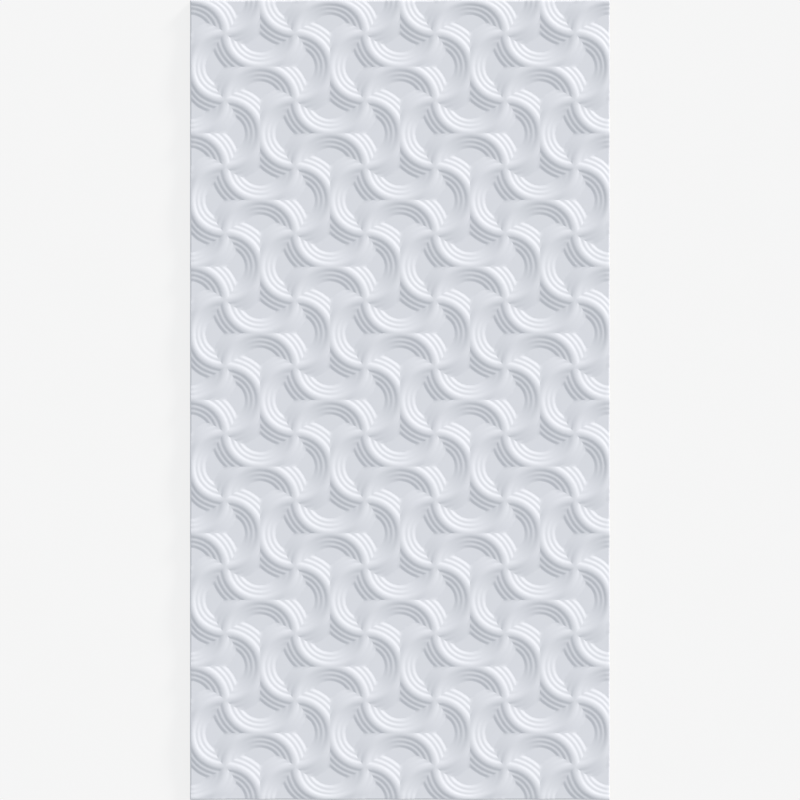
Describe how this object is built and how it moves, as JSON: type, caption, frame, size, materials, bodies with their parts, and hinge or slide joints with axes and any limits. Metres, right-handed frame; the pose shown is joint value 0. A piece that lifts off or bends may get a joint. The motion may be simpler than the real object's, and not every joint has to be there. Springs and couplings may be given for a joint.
{
  "type": "wall tile",
  "caption": "Rectangular glazed ceramic wall tile with an all-over relief of interlaced pinwheel waves and a keyed back, set on a wall with adhesive.",
  "frame": {"origin": "middle of the back, in the plane of its ribs, on which the tile lies", "axes": "+Z out of the relief face, +Y along the length, towards the top of the picture, and +X across the width, towards its right"},
  "size_m": [0.315, 0.6, 0.01],
  "materials": {
    "glaze": "satin white glaze on a pale biscuit body, back left bare"
  },
  "bodies": {
    "root": {"wall_tile": "glaze"}
  },
  "joints": []
}
